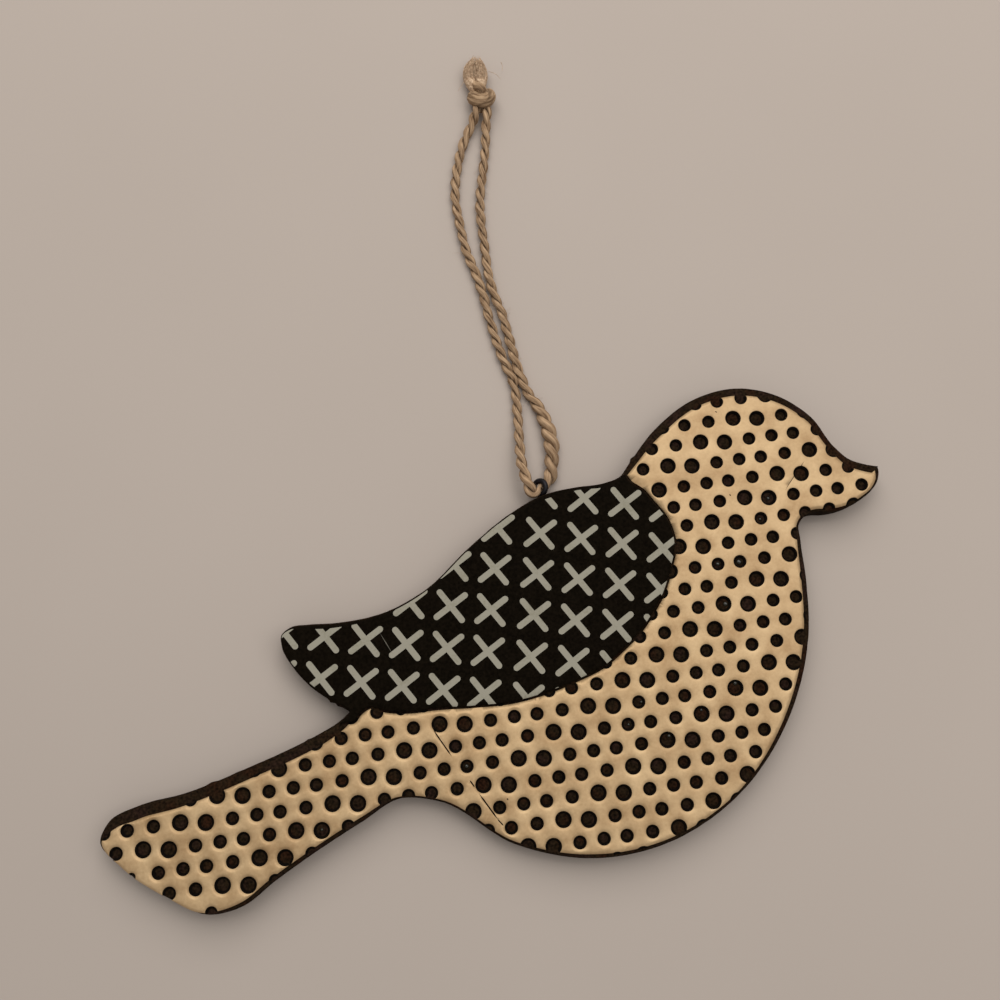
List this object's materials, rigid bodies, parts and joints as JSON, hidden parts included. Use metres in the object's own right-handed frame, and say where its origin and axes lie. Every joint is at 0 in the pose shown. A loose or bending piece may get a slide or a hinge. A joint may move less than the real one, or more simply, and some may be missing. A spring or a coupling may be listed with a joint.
{
  "type": "wooden bird ornament",
  "caption": "Flat hanging bird ornament: black board cut in profile, punched gold sheet over body, printed wing sheet, wire screw eye and knotted jute loop.",
  "frame": {"origin": "middle of the board's outline, on its back, where it lies on the surface", "axes": "+X from tail to beak, +Y from belly to crown, +Z out of the decorated face"},
  "size_m": [0.1294, 0.1508, 0.0052],
  "materials": {
    "black_wood": "matt black paint on fibreboard",
    "gold_sheet": "pressed sheet with satin gold lacquer",
    "wing_print": "matt black lacquer with grey-green printed crosses",
    "black_wire": "black japanned wire",
    "jute": "raw two-ply jute twine"
  },
  "bodies": {
    "ornament": {"board": "black_wood", "body_sheet": "gold_sheet", "wing_sheet": "wing_print", "screw_eye": "black_wire"},
    "hanger": {"twine_loop": "jute", "twine_knot": "jute", "twine_end_left": "jute", "twine_end_right": "jute"}
  },
  "joints": [
    {"name": "hanger_swing", "type": "hinge", "parent": "ornament", "child": "hanger", "pos_m": [0.0063, 0.02767, 0.00225], "axis": [0.766, 0, 0.6428], "range_deg": [0, 100]}
  ]
}
